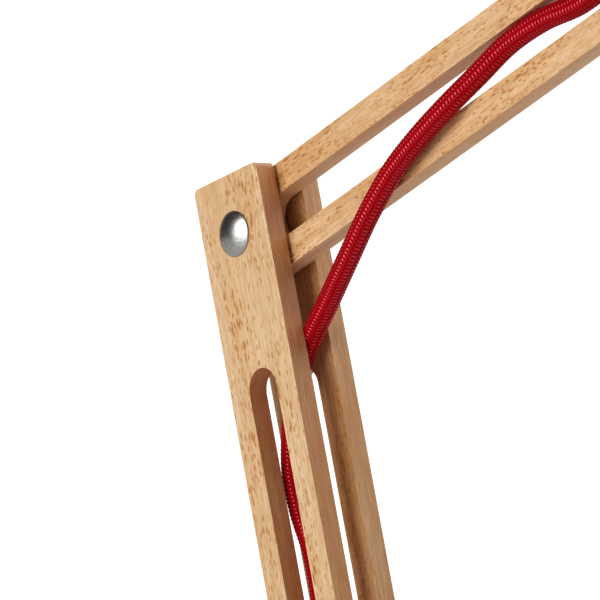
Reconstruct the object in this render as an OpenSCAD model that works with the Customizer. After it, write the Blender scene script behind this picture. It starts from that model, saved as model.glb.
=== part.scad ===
// Swing-arm table lamp: slotted beech slats on domed steel pivots, with a braided flex woven through them.
// Millimetres. The origin is the middle of the base's underside, +Z is up and the arm reaches along +X.

/* [Arm] */
// Distance between the pivots of one arm
arm_length = 340; // [240:5:420]
// Width of a slat
slat_w = 32; // [28:1:44]
// Thickness of a slat
slat_t = 7; // [5:0.5:10]
// Length of a slat beyond its pivot
slat_end = 19; // [16:1:26]
// Rounding along the long edges of a slat
slat_edge_r = 1.2; // [0.5:0.1:2]
// Rounding of the corners of a slat
slat_corner_r = 2; // [1:0.5:5]
// Width of the long slot
slot_w = 13.5; // [11:0.5:16]
// Distance from a pivot to the end of a slot
slot_setback = 44; // [30:1:70]
// Distance from the elbow's pivot to the end of the upper slat's slot
elbow_setback = 7.3; // [6:0.1:20]
// Lean of the lower arm behind the vertical
lean = 16; // [0:1:25]
// Rise of the upper arm above the horizontal
rise = 24; // [0:1:35]

/* [Pivots] */
// Diameter of the pivot sleeve
sleeve_d = 6; // [5:0.5:7]
// Diameter of the domed heads
head_d = 14.5; // [11:0.5:18]
// Height of the domed heads
head_h = 2.8; // [2:0.1:5]
// Diameter of the pivot screw
pivot_screw_d = 3.4; // [2.4:0.1:3.8]
// Length of the pivot screw in its sleeve
pivot_screw_l = 12; // [8:1:18]
// Diameter of the washers between the slats
washer_d = 15; // [12:0.5:18]
// Thickness of the washers
washer_t = 1.5; // [1:0.1:3]
// Radial clearance of a turning fit
running_clearance = 0.05; // [0.02:0.01:0.1]

/* [Base] */
// Diameter of the base
base_d = 190; // [170:5:240]
// Thickness of the base
base_h = 22; // [20:1:30]
// Rounding of the base's upper edge
base_edge_r = 8; // [3:1:10]
// Place of the post along X
post_x = -30; // [-40:1:-20]
// Diameter of the post's shoulder
shoulder_d = 40; // [36:1:44]
// Height of the post's shoulder
shoulder_h = 22; // [15:1:40]
// Thickness of the felt under the base
felt_t = 2; // [1:0.5:4]
// Width of the rim that the felt leaves bare
felt_margin = 4; // [2:1:10]
// Diameter of the ballast plate
ballast_d = 124; // [100:2:126]
// Thickness of the ballast plate
ballast_t = 11; // [6:1:12]
// Place of the ballast plate along X
ballast_x = 10; // [8:1:20]

/* [Head] */
// Drop from the head's pivot to the top of the cap
cap_drop = 48; // [46:1:70]
// Diameter of the turned cap
cap_d = 50; // [48:1:60]
// Height of the turned cap
cap_h = 42; // [40:1:55]
// Depth of the mortises that hold the cheeks
mortise_depth = 14; // [8:1:16]
// Diameter of the lampholder's shell
holder_d = 39; // [38:0.5:41]
// Length of the lampholder's shell
holder_l = 60; // [56:1:64]
// Diameter of the shade at its rim
shade_d = 156; // [130:2:200]
// Height of the shade
shade_h = 95; // [90:1:130]
// Wall of the shade
shade_wall = 1; // [0.6:0.1:2]
// Radius of the shade's shoulder
shade_shoulder_r = 16; // [10:1:24]
// Diameter of the rolled rim
rim_d = 3.6; // [2.5:0.1:5]
// Diameter of the bulb's globe
globe_d = 45; // [40:1:60]

/* [Cord] */
// Diameter of the braided flex
cord_d = 7; // [5:0.5:7]
// Turns of the spare length, a whole number and a quarter
coil_turns = 6.25; // [4.25:1:8.25]
// Radius of the outer turn at its middle
coil_r = 48; // [44:1:60]
// Distance between neighbouring turns and layers
coil_pitch = 7.6; // [7.5:0.1:9]

/* [Switch and plug] */
// Length of the switch along the flex
switch_l = 60; // [56:1:80]
// Width of the switch
switch_w = 28; // [26:1:36]
// Height of the switch's body
switch_h = 16; // [15:0.5:20]
// Height of the line where the two shells meet
switch_split = 7.5; // [7:0.1:8]
// Wall of the switch's shells
switch_wall = 2; // [1.5:0.1:2.5]
// Tilt of the rocker to either side
rocker_tilt = 8; // [4:0.5:9]
// Length of the plug's body
plug_l = 36; // [30:1:50]
// Width of the plug's body
plug_w = 26; // [25:1:34]
// Height of the plug's body
plug_h = 13; // [11:0.5:18]
// Diameter of a plug pin
pin_d = 4; // [4:0.1:4.8]
// Straight length of a plug pin
pin_l = 17; // [15:0.5:18]
// Distance between the plug pins
pin_spacing = 18.6; // [18:0.1:19.2]

/* [Hidden] */
$fn = 64;

// Clearances and small allowances
fit_gap = 0.1;
loose_gap = 0.3;
slat_clearance = 3;
washer_play = 0.05;
past = 1;

// Pivots of the arm
base_top = felt_t + base_h;
corner_reach = norm([slat_end, slat_w / 2]);
pivot_z = base_top + shoulder_h + corner_reach + slat_clearance;
base_pivot = [post_x, 0, pivot_z];
lower_along = [-sin(lean), 0, cos(lean)];
lower_across = [cos(lean), 0, sin(lean)];
upper_along = [cos(rise), 0, sin(rise)];
upper_across = [-sin(rise), 0, cos(rise)];
elbow_pivot = base_pivot + arm_length * lower_along;
head_pivot = elbow_pivot + arm_length * upper_along;

// Stack of slats on a pivot, measured from the front face
slat_gap = slat_t + 2 * washer_t;
stack_t = 2 * slat_t + slat_gap;
front_y = -stack_t / 2;
rear_y = slat_gap / 2;
bore_d = sleeve_d + 2 * running_clearance;

// Head, measured down from the head's pivot
cap_top = -cap_drop;
cap_bottom = cap_top - cap_h;
cap_web = 6;
cavity_top = cap_top - mortise_depth - cap_web;
holder_top = cavity_top;
holder_bottom = holder_top - holder_l;
holder_wall = 3;
holder_lid = 10;
core_d = holder_d - 2 * holder_wall - fit_gap;
core_wall = 2.8;
core_l = 44;
core_top = holder_top - holder_lid;
socket_d = core_d - 2 * core_wall;
contact_h = 2;
bulb_cap_d = socket_d - 2 * loose_gap;
bulb_cap_l = 28;
bulb_tip_h = 2;
bulb_tip_z = core_top - contact_h - loose_gap;
bulb_cap_top = bulb_tip_z - bulb_tip_h;
bulb_cap_bottom = bulb_cap_top - bulb_cap_l;
bulb_tip_d = 9;
bulb_cap_wall = 0.7;
bulb_cap_lid = 1;
neck_d = bulb_cap_d - 2 * bulb_cap_wall;
neck_root = bulb_cap_l - bulb_cap_lid;
neck_l = 19;
globe_z = bulb_cap_bottom - neck_l - sqrt(pow(globe_d / 2, 2) - pow(neck_d / 2, 2));
gland_z = -72;
gland_l = 14;
gland_d = 11;
gland_depth = 3;
gland_x = -cap_d / 2 - gland_l + gland_depth;

// Fasteners
wood_screw = [3.6, 8, 3];
switch_screw = [2.4, 4.4, 1.4];
ballast_pcd = 92;
ballast_screw_l = 16;
post_screw_spread = 9;
holder_screw_x = 9;
screw_cover = 6;
screw_tip_margin = 2;

// Flex inside and behind the base
cord_z = 9;
cord_sides = 8;
grommet_d = 17;
grommet_h = 3;
grommet_spacing = 3.5;
grommet_x = post_x - shoulder_d / 2 - grommet_spacing - grommet_d / 2;
relief_d = 11;
relief_tip_d = 8.6;
relief_inner = 5;
relief_l = 35;
relief_x = -base_d / 2 - relief_l;
pocket_top = 18.5;

// Route of the flex from the base's rim to the lampholder: the base's stretch in the lamp's frame,
// the arms' stretches as distance along, across and in depth, and the head's from its pivot.
base_route = [[-base_d / 2 + relief_inner, 0, cord_z], [-76, 0, cord_z], [-70.5, 0, 10], [-66, 0, 13],
  [-63, 0, 18], [grommet_x, 0, base_top], [grommet_x, 0, base_top + grommet_h], [-63, 0, 46],
  [-65, 0, 64], [-67, 0, 82], [-68, 0, 100], [-67, 0, 120]];
lower_route = [[76, -15, 0], [95, -9, 0], [114, -6, 0], [134, -5, 0], [155, -5, 0], [176, -4, 0],
  [197, -4, 0], [218, -4.2, 0], [238, -4.3, 0], [252, -6.9, 0], [264, -7.2, 0], [276, -4, 0],
  [286, 0.8, -0.7], [294, 6.2, -1.1], [301, 13.6, -1.1], [309.5, 28.2, -3.4]];
upper_route = [[42, -27.8, -7.3], [57.5, -19.4, -7.8], [72, -12.4, -7.4], [88, -8.3, -7.8],
  [103, -5.2, -7.4], [117.5, -1.2, -4.6], [130, 2.3, -2.2], [146, 2.8, -0.7], [162, 0.4, 0]];
head_route = [[-148, -1, -66], [-135, -5.4, -63], [-122, -7.6, -62], [-109, -7.6, -65], [-94, -7, -71],
  [-80, -5, -75], [-66, -3, -76.5], [-53, -1, -75], [-44, 0, gland_z], [gland_x, 0, gland_z]];
function on_lower(p) = base_pivot + p[0] * lower_along + p[1] * lower_across + [0, p[2], 0];
function on_upper(p) = elbow_pivot + p[0] * upper_along + p[1] * upper_across + [0, p[2], 0];
arm_route = concat(base_route, [for (p = lower_route) on_lower(p)], [for (p = upper_route) on_upper(p)],
  [for (p = head_route) head_pivot + p]);
// Each stretch of the flex ends at a point of the route: at the grommet, on the lower arm, on the upper arm
points_to_grommet = 6;
points_to_lower_run = 1;
points_to_elbow = 9;
points_past_elbow = 7;
inner_end = points_to_grommet;
loop_end = len(base_route) + points_to_lower_run;
run_end = len(base_route) + points_to_elbow;
elbow_end = len(base_route) + len(lower_route) + points_past_elbow;
upper_end = len(base_route) + len(lower_route) + len(upper_route) - 1;

// Route of the flex on the table: base to switch, switch to coil, coil to plug
switch_x = -167;
switch_y = 93;
switch_z = 0.2;
switch_axis_z = switch_split;
coil_x = -118;
coil_y = 180;
coil_z = 4.9;
plug_x = -36;
plug_sleeve_l = 22;
plug_z = 0.1;
plug_axis_z = plug_z + plug_h / 2;
exit_y = coil_y + coil_r;
lead_route = [[relief_x, 0, cord_z], [relief_x - cord_d, 0, cord_z], [-147, 1, 6.5], [-156, 5, 4.4],
  [-163, 13, 3.6], [-166, 24, 3.6], [-167, 35, 3.8], [-167, 46, 5.5], [switch_x, 57, switch_axis_z],
  [switch_x, switch_y - switch_l / 2, switch_axis_z]];
tail_route = [[switch_x, switch_y + switch_l / 2, switch_axis_z], [switch_x, 130, switch_axis_z],
  [-167, 143, 5.6], [-166, 157, 4.9], [coil_x - coil_r, coil_y - cord_d, coil_z]];
plug_route = [[coil_x + cord_d, exit_y, coil_z + coil_pitch], [-104, exit_y, coil_z + coil_pitch],
  [-88, exit_y, 9.8], [-74, exit_y, 7.4], [-66, exit_y, plug_axis_z],
  [plug_x - plug_sleeve_l, exit_y, plug_axis_z]];

// The coil spirals in on the table, climbs one layer in the half turn about its middle and spirals out
coil_steps = 24;
coil_sides = 6;
coil_count = coil_turns * coil_steps;
function coil_radius(t) = coil_r - coil_pitch * (coil_turns / 2 - abs(t - coil_turns / 2));
function coil_climb(t) = coil_pitch * min(1, max(0, 2 * (t - coil_turns / 2) + 0.5));
function coil_point(t) = [coil_x - coil_radius(t) * cos(360 * t), coil_y + coil_radius(t) * sin(360 * t),
  coil_z + coil_climb(t)];
coil_path = concat([[coil_x - coil_r, coil_y - cord_d, coil_z]],
  [for (i = [0:coil_count]) coil_point(i / coil_steps)],
  [[coil_x + cord_d, exit_y, coil_z + coil_pitch]]);
function pair_gaps(p, skip) = [for (i = [0:len(p) - 1 - skip], j = [i + skip:len(p) - 1]) norm(p[i] - p[j])];
echo("least gap between the coil's turns", min(pair_gaps(coil_path, coil_steps / 2)) - cord_d);

// Tube swept along a route. Only the rings from first to last are drawn, with the whole route's directions
function unit(v) = v / norm(v);
function heading(p, i) = unit(p[min(i + 1, len(p) - 1)] - p[max(i - 1, 0)]);
function ring(p, i, r, sides, up) =
  let (t = heading(p, i), b = unit(cross(t, up)), n = cross(b, t))
  [for (k = [0:sides - 1]) p[i] + r * (cos(360 * k / sides) * b + sin(360 * k / sides) * n)];
module tube(p, first, last, sides, up) {
  rows = last - first;
  points = [for (i = [first:last]) each ring(p, i, cord_d / 2, sides, up)];
  walls = [for (i = [0:rows - 1], k = [0:sides - 1])
    let (a = i * sides + k, b = i * sides + (k + 1) % sides)
    each [[a, b, b + sides], [a, b + sides, a + sides]]];
  start = [for (k = [1:sides - 2]) [0, k + 1, k]];
  end = [for (k = [1:sides - 2]) [rows * sides, rows * sides + k, rows * sides + k + 1]];
  polyhedron(points, concat(walls, start, end));
}
module arm_cord(first, last) color("firebrick") tube(arm_route, first, last, cord_sides, [0, 1, 0]);
module table_cord(route) color("firebrick") tube(route, 0, len(route) - 1, cord_sides, [0, 0, 1]);

// Shapes that repeat
module rounded_rect(size, r) {
  square([size[0] - 2 * r, size[1]], center = true);
  square([size[0], size[1] - 2 * r], center = true);
  for (x = [-1, 1], y = [-1, 1]) translate([x * (size[0] / 2 - r), y * (size[1] / 2 - r)]) circle(r);
}
// Bar of rounded section along X, resting on Z = 0
module rounded_bar(x0, x1, w, t, r)
  translate([x0, 0, t / 2]) rotate([90, 0, 90]) linear_extrude(x1 - x0) rounded_rect([w, t], r);
module slot_outline(from, to) {
  translate([from + slot_w / 2, -slot_w / 2]) square([to - from - slot_w, slot_w]);
  for (x = [from + slot_w / 2, to - slot_w / 2]) translate([x, 0]) circle(d = slot_w);
}
// Slat lying along X with its first pivot at the origin
module slat(slot_from, slot_to) {
  full = arm_length + 2 * slat_end;
  color("burlywood") intersection() {
    linear_extrude(slat_t) difference() {
      translate([arm_length / 2, 0]) rounded_rect([full, slat_w], slat_corner_r);
      slot_outline(slot_from, slot_to);
      for (x = [0, arm_length]) translate([x, 0]) circle(d = bore_d);
    }
    rounded_bar(-slat_end - past, arm_length + slat_end + past, slat_w, slat_t, slat_edge_r);
  }
}
module lower_slat(y)
  translate(base_pivot + [0, y, 0]) rotate([0, -90 - lean, 0]) rotate([-90, 0, 0])
    slat(slot_setback, arm_length - slot_setback);
// Spherical cap with a short straight rim, standing on Z = 0
module dome(d, h) {
  rim = 0.5;
  r = (d * d / 4 + pow(h - rim, 2)) / (2 * (h - rim));
  cylinder(d = d, h = rim);
  translate([0, 0, rim]) intersection() {
    translate([0, 0, h - rim - r]) sphere(r);
    cylinder(d = d + past, h = h);
  }
}
// Pivot parts stand along Z from the stack's front face and are then laid along Y
module on_pivot(pivot) translate(pivot + [0, front_y, 0]) rotate([-90, 0, 0]) children();
module pivot_sleeve() {
  end_play = 0.5;
  color("silver") difference() {
    union() {
      mirror([0, 0, 1]) dome(head_d, head_h);
      cylinder(d = sleeve_d, h = stack_t - end_play);
    }
    translate([0, 0, stack_t - pivot_screw_l - past])
      cylinder(d = pivot_screw_d + 2 * running_clearance, h = pivot_screw_l + past);
  }
}
module pivot_screw() {
  driver_w = 1.2;
  driver_depth = 1.4;
  color("silver") translate([0, 0, stack_t]) {
    difference() {
      dome(head_d, head_h);
      translate([-head_d, -driver_w / 2, head_h - driver_depth]) cube([2 * head_d, driver_w, head_h]);
    }
    translate([0, 0, -pivot_screw_l]) cylinder(d = pivot_screw_d, h = pivot_screw_l);
  }
}
module pivot_washers()
  color("gainsboro") for (z = [slat_t, slat_t + washer_t + slat_t + washer_play])
    translate([0, 0, z]) difference() {
      cylinder(d = washer_d, h = washer_t - washer_play);
      translate([0, 0, -past]) cylinder(d = bore_d, h = washer_t + 2 * past);
    }
// Screw with the outer face of its head at Z = 0 and its shank up. A size is [shank, head, head height]
module flat_screw(size, l) {
  cylinder(d = size[1], h = size[2]);
  cylinder(d = size[0], h = l);
}
module flat_screw_hole(size, l) {
  translate([0, 0, -past]) cylinder(d = size[1] + 2 * fit_gap, h = size[2] + past);
  pilot_hole(size, l);
}
module pilot_hole(size, l) cylinder(d = size[0] + 2 * running_clearance, h = l + past);
// Turned blank with rounded edges above and below
module turned(d, h, top_r, bottom_r)
  rotate_extrude() {
    translate([0, bottom_r]) square([d / 2, h - top_r - bottom_r]);
    square([d / 2 - bottom_r, h - top_r]);
    square([d / 2 - max(top_r, bottom_r), h]);
    intersection() {
      translate([d / 2 - top_r, h - top_r]) circle(top_r);
      translate([0, h / 2]) square([d / 2, h / 2]);
    }
    intersection() {
      translate([d / 2 - bottom_r, bottom_r]) circle(bottom_r);
      square([d / 2, h / 2]);
    }
    translate([0, h - top_r]) square([d / 2 - top_r, top_r]);
  }

// Base
ballast_screw_places = [for (k = [0:2])
  [ballast_x + ballast_pcd / 2 * cos(120 * k), ballast_pcd / 2 * sin(120 * k), felt_t]];
post_screw_z = felt_t + ballast_t + loose_gap;
post_screw_l = base_top + shoulder_h - screw_cover - post_screw_z;
post_screw_places = [for (y = [-1, 1]) [post_x, y * post_screw_spread, post_screw_z]];
module felt_pad() color("dimgray") cylinder(d = base_d - 2 * felt_margin, h = felt_t);
module base_disc() {
  recess_gap = 0.4;
  underside_r = 2;
  color("burlywood") difference() {
    translate([0, 0, felt_t]) turned(base_d, base_h, base_edge_r, underside_r);
    translate([ballast_x, 0, felt_t - past])
      cylinder(d = ballast_d + 2 * recess_gap, h = ballast_t + loose_gap + past);
    for (p = ballast_screw_places) translate(p) pilot_hole(wood_screw, ballast_screw_l);
    for (p = post_screw_places) translate(p) flat_screw_hole(wood_screw, base_h);
    translate([-base_d / 2 - past, 0, cord_z]) rotate([0, 90, 0])
      cylinder(d = relief_d + 2 * fit_gap, h = relief_inner + 2 * past);
    translate([-base_d / 2 + relief_inner, -cord_d / 2 - past, felt_t - past])
      cube([grommet_x + base_d / 2 - relief_inner + cord_d / 2 + past, cord_d + 2 * past,
        pocket_top - felt_t + past]);
    translate([grommet_x, 0, felt_t]) cylinder(d = cord_d + 2 * past, h = base_h + past);
  }
}
module ballast_plate()
  color("dimgray") difference() {
    translate([ballast_x, 0, felt_t]) cylinder(d = ballast_d, h = ballast_t);
    for (p = ballast_screw_places) translate(p) flat_screw_hole(wood_screw, ballast_t);
  }
module ballast_screws()
  color("silver") for (p = ballast_screw_places) translate(p) flat_screw(wood_screw, ballast_screw_l);
module post_screws()
  color("silver") for (p = post_screw_places) translate(p) flat_screw(wood_screw, post_screw_l);
module base_post() {
  shoulder_r = 6;
  foot_r = 1;
  tongue_h = pivot_z - base_top - shoulder_h / 2;
  color("burlywood") difference() {
    translate([post_x, 0, base_top]) union() {
      turned(shoulder_d, shoulder_h, shoulder_r, foot_r);
      translate([0, slat_t / 2, shoulder_h / 2]) rotate([90, 0, 0]) linear_extrude(slat_t) {
        translate([-slat_w / 2, 0]) square([slat_w, tongue_h]);
        translate([0, tongue_h]) circle(d = slat_w);
      }
    }
    translate(base_pivot + [0, -slat_t, 0]) rotate([-90, 0, 0]) cylinder(d = bore_d, h = 2 * slat_t);
    for (p = post_screw_places) translate(p) pilot_hole(wood_screw, post_screw_l);
  }
}
module base_grommet() {
  lip_r = 1.5;
  foot_r = 0.2;
  color("black") translate([grommet_x, 0, base_top]) difference() {
    turned(grommet_d, grommet_h, lip_r, foot_r);
    translate([0, 0, -past]) cylinder(d = cord_d + 2 * loose_gap, h = grommet_h + 2 * past);
  }
}
module base_strain_relief()
  color("black") translate([relief_x, 0, cord_z]) rotate([0, 90, 0]) {
    cylinder(d1 = relief_tip_d, d2 = relief_d, h = relief_l);
    cylinder(d = cord_d, h = relief_l + relief_inner);
    translate([0, 0, relief_l]) cylinder(d = relief_d, h = relief_inner);
  }

// Arm
module front_lower_slat() lower_slat(front_y);
module rear_lower_slat() lower_slat(rear_y);
module upper_slat()
  translate(elbow_pivot + [0, slat_t / 2, 0]) rotate([0, -rise, 0]) rotate([90, 0, 0])
    slat(elbow_setback, arm_length - slot_setback);
arm_pivots = [base_pivot, elbow_pivot];
module arm_pivot_sleeves() for (p = arm_pivots) on_pivot(p) pivot_sleeve();
module arm_pivot_screws() for (p = arm_pivots) on_pivot(p) pivot_screw();
module arm_pivot_washers() for (p = arm_pivots) on_pivot(p) pivot_washers();

// Head
module head_pivot_sleeve() on_pivot(head_pivot) pivot_sleeve();
module head_pivot_screw() on_pivot(head_pivot) pivot_screw();
module head_pivot_washers() on_pivot(head_pivot) pivot_washers();
// Cheek with its pivot at the origin and its foot in the cap's mortise
module cheek(y) {
  foot = cap_drop + mortise_depth - fit_gap;
  full = slat_end + foot;
  color("burlywood") translate(head_pivot + [0, y, 0]) rotate([0, -90, 0]) rotate([-90, 0, 0])
    intersection() {
      linear_extrude(slat_t) difference() {
        translate([(slat_end - foot) / 2, 0]) rounded_rect([full, slat_w], slat_corner_r);
        circle(d = bore_d);
      }
      rounded_bar(-foot - past, slat_end + past, slat_w, slat_t, slat_edge_r);
    }
}
module front_cheek() cheek(front_y);
module rear_cheek() cheek(rear_y);
holder_screw_l = cap_top - holder_top + holder_lid - screw_tip_margin;
holder_screw_places = [for (x = [-1, 1]) [x * holder_screw_x, 0, cap_top]];
module lampholder_cap() {
  cap_edge_r = 7;
  cap_foot_r = 1.5;
  color("burlywood") translate(head_pivot) difference() {
    translate([0, 0, cap_bottom]) turned(cap_d, cap_h, cap_edge_r, cap_foot_r);
    for (y = [front_y, rear_y]) translate([-slat_w / 2 - fit_gap, y - fit_gap, cap_top - mortise_depth])
      cube([slat_w + 2 * fit_gap, slat_t + 2 * fit_gap, mortise_depth + past]);
    translate([0, 0, cap_bottom - past])
      cylinder(d = holder_d + 2 * loose_gap, h = cavity_top - cap_bottom + past);
    for (p = holder_screw_places) translate(p) mirror([0, 0, 1])
      flat_screw_hole(wood_screw, cap_top - cavity_top);
    translate([-cap_d / 2 - past, 0, gland_z]) rotate([0, 90, 0])
      cylinder(d = gland_d + 2 * fit_gap, h = gland_depth + past);
    translate([-cap_d / 2, 0, gland_z]) rotate([0, 90, 0])
      cylinder(d = cord_d + 2 * loose_gap, h = cap_d / 2);
  }
}
module holder_screws()
  color("silver") for (p = holder_screw_places) translate(head_pivot + p) mirror([0, 0, 1])
    flat_screw(wood_screw, holder_screw_l);
module head_cord_gland()
  color("black") translate(head_pivot + [gland_x, 0, gland_z]) rotate([0, 90, 0])
    cylinder(d1 = relief_tip_d, d2 = gland_d, h = gland_l);
module lampholder_shell() {
  shell_edge_r = 1;
  color("black") translate(head_pivot) difference() {
    translate([0, 0, holder_bottom]) turned(holder_d, holder_l, shell_edge_r, shell_edge_r);
    translate([0, 0, holder_bottom - past])
      cylinder(d = holder_d - 2 * holder_wall, h = holder_l - holder_lid + past);
    for (p = holder_screw_places) translate(p) mirror([0, 0, 1]) pilot_hole(wood_screw, holder_screw_l);
  }
}
module lampholder_core()
  color("white") translate(head_pivot) difference() {
    translate([0, 0, core_top - core_l]) cylinder(d = core_d, h = core_l);
    translate([0, 0, core_top - core_l - past]) cylinder(d = socket_d, h = core_l + 2 * past);
  }
module centre_contact() {
  button_d = 8;
  strip_w = 6;
  strip_t = 1;
  strip_l = socket_d - 2 * loose_gap;
  color("goldenrod") translate(head_pivot + [0, 0, core_top - contact_h]) {
    cylinder(d = button_d, h = contact_h);
    translate([-strip_w / 2, -strip_l / 2, contact_h - strip_t]) cube([strip_w, strip_l, strip_t]);
  }
}
shade_top = cap_bottom;
ring_h = 8;
ring_wall = 5;
module shade_ring() {
  ring_top_r = 1;
  ring_foot_r = 1.5;
  color("black") translate(head_pivot + [0, 0, shade_top - shade_wall - ring_h]) difference() {
    turned(holder_d + 2 * ring_wall, ring_h, ring_top_r, ring_foot_r);
    translate([0, 0, -past]) cylinder(d = holder_d + 2 * fit_gap, h = ring_h + 2 * past);
  }
}
// The shade's wall: a flat seat, a shoulder arc and a cone that leaves the arc at its tangent
shade_seat_margin = 2;
shade_seat_r = holder_d / 2 + ring_wall + shade_seat_margin;
shade_run = shade_d / 2 - shade_seat_r;
shade_fall = shade_h - shade_shoulder_r;
shade_angle = acos(shade_shoulder_r / norm([shade_run, shade_fall])) - atan2(shade_fall, shade_run);
shoulder_steps = 16;
function shade_wall_line(r) = concat([for (k = [0:shoulder_steps])
  let (a = 90 + k / shoulder_steps * (shade_angle - 90))
  [shade_seat_r + r * cos(a), -shade_shoulder_r + r * sin(a)]],
  [[shade_d / 2, -shade_h] + (r - shade_shoulder_r) * [cos(shade_angle), sin(shade_angle)]]);
function reversed(p) = [for (i = [len(p) - 1:-1:0]) p[i]];
module shade()
  color("whitesmoke") translate(head_pivot + [0, 0, shade_top]) {
    rotate_extrude() polygon(concat(
      [[holder_d / 2 + loose_gap, -shade_wall], [holder_d / 2 + loose_gap, 0]],
      shade_wall_line(shade_shoulder_r), reversed(shade_wall_line(shade_shoulder_r - shade_wall))));
    rotate_extrude() translate([shade_d / 2, -shade_h]) circle(d = rim_d);
  }
module bulb_cap()
  color("silver") translate(head_pivot + [0, 0, bulb_cap_bottom]) difference() {
    union() {
      cylinder(d = bulb_cap_d, h = bulb_cap_l);
      cylinder(d = bulb_tip_d, h = bulb_cap_l + bulb_tip_h);
    }
    translate([0, 0, -past]) cylinder(d = neck_d + 2 * fit_gap, h = neck_root + past);
  }
module bulb_glass()
  color("ivory") translate(head_pivot) {
    translate([0, 0, bulb_cap_bottom - neck_l - past])
      cylinder(d = neck_d, h = past + neck_l + neck_root - fit_gap);
    translate([0, 0, globe_z]) sphere(d = globe_d);
  }

// Flex, held by the base, woven through the arm and wound up behind
module cord_base_inner() arm_cord(0, inner_end);
module cord_base_loop() arm_cord(inner_end, loop_end);
module cord_lower_run() arm_cord(loop_end, run_end);
module cord_elbow() arm_cord(run_end, elbow_end);
module cord_upper_run() arm_cord(elbow_end, upper_end);
module cord_head_loop() arm_cord(upper_end, len(arm_route) - 1);
module cord_table_lead() table_cord(lead_route);
module cord_switch_tail() table_cord(tail_route);
module cord_plug_tail() table_cord(plug_route);
module cord_coil() color("firebrick") tube(coil_path, 0, len(coil_path) - 1, coil_sides, [0, 0, 1]);
module cord_tie() {
  band_w = 12;
  band_t = 1;
  band_r = 2;
  band_angle = -45;
  inner_r = coil_r - coil_pitch * coil_turns / 2 - cord_d / 2 - loose_gap;
  outer_r = coil_r + cord_d / 2 + loose_gap;
  low = coil_z - cord_d / 2 - loose_gap;
  high = coil_z + coil_pitch + cord_d / 2 + loose_gap;
  color("black") translate([coil_x, coil_y, 0]) rotate([0, 0, band_angle])
    translate([(inner_r + outer_r) / 2, band_w / 2, (low + high) / 2]) rotate([90, 0, 0])
      linear_extrude(band_w) difference() {
        rounded_rect([outer_r - inner_r + 2 * band_t, high - low + 2 * band_t], band_r);
        rounded_rect([outer_r - inner_r, high - low], band_r - band_t);
      }
}

// Switch, lying along Y with its middle at the origin of its own frame
switch_corner_r = 9;
switch_edge_r = 4;
axle_drop = 2.5;
rocker_z = switch_h - axle_drop;
rocker_half = 10.5;
rocker_w = 12;
rocker_gap = 0.7;
axle_d = 3;
bearing_t = 2;
bearing_cover = 1;
switch_screw_inset = 8;
switch_screw_y = switch_l / 2 - switch_screw_inset;
boss_d = 7;
module in_switch() translate([switch_x, switch_y, switch_z]) children();
module switch_blank(r)
  intersection() {
    linear_extrude(switch_h) rounded_rect([switch_w - 2 * r, switch_l - 2 * r], switch_corner_r - r);
    translate([0, 0, r]) rotate([0, 0, 90])
      rounded_bar(-switch_l / 2, switch_l / 2, switch_w - 2 * r, switch_h - 2 * r, switch_edge_r);
  }
module switch_slab(from, to)
  translate([-switch_w, -switch_l, from]) cube([2 * switch_w, 2 * switch_l, to - from]);
module at_switch_screws()
  for (y = [-1, 1]) translate([0, y * switch_screw_y, 0]) children();
module switch_lower_shell()
  color("black") in_switch() difference() {
    intersection() {
      switch_blank(0);
      switch_slab(-past, switch_split);
    }
    difference() {
      switch_blank(switch_wall);
      at_switch_screws() cylinder(d = boss_d, h = switch_h);
    }
    at_switch_screws() flat_screw_hole(switch_screw, switch_h);
  }
switch_screw_l = switch_h - 2 * switch_wall;
module switch_upper_shell()
  color("black") in_switch() difference() {
    union() {
      difference() {
        intersection() {
          switch_blank(0);
          switch_slab(switch_split, switch_h + past);
        }
        difference() {
          switch_blank(switch_wall);
          at_switch_screws() cylinder(d = boss_d, h = switch_h);
        }
      }
      for (x = [-1, 1]) translate([x * (rocker_w / 2 + rocker_gap + bearing_t / 2), 0, rocker_z])
        translate([-bearing_t / 2, -axle_d, -axle_d])
          cube([bearing_t, 2 * axle_d, axle_drop + axle_d - bearing_cover]);
    }
    translate([-rocker_w / 2 - rocker_gap, -rocker_half - rocker_gap, switch_split])
      cube([rocker_w + 2 * rocker_gap, 2 * (rocker_half + rocker_gap), switch_h]);
    translate([-switch_w / 2 + switch_wall, 0, rocker_z]) rotate([0, 90, 0])
      cylinder(d = axle_d + 2 * running_clearance, h = switch_w - 2 * switch_wall);
    at_switch_screws() pilot_hole(switch_screw, switch_screw_l - past + fit_gap);
  }
module switch_screws()
  color("silver") in_switch() at_switch_screws() flat_screw(switch_screw, switch_screw_l);
module switch_contacts() {
  plate = [6, 6, 1];
  post = [2, 2, 3.5];
  contact_y = 7.35;
  color("goldenrod") in_switch() for (y = [-contact_y, contact_y], size = [plate, post])
    translate([-size[0] / 2, y - size[1] / 2, switch_wall]) cube(size);
}
module switch_rocker() {
  crown = 3.6;
  dip = 2.4;
  edge = 0.6;
  heel = -3.4;
  heel_half = 2;
  color("firebrick") in_switch() translate([0, 0, rocker_z]) rotate([-rocker_tilt, 0, 0]) {
    rotate([90, 0, 90]) translate([0, 0, -rocker_w / 2]) linear_extrude(rocker_w)
      polygon([[-rocker_half, crown], [0, dip], [rocker_half, crown], [rocker_half, edge],
        [heel_half, heel], [-heel_half, heel], [-rocker_half, edge]]);
    translate([-rocker_w / 2 - rocker_gap - bearing_t, 0, 0]) rotate([0, 90, 0])
      cylinder(d = axle_d, h = rocker_w + 2 * rocker_gap + 2 * bearing_t);
  }
}

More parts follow.
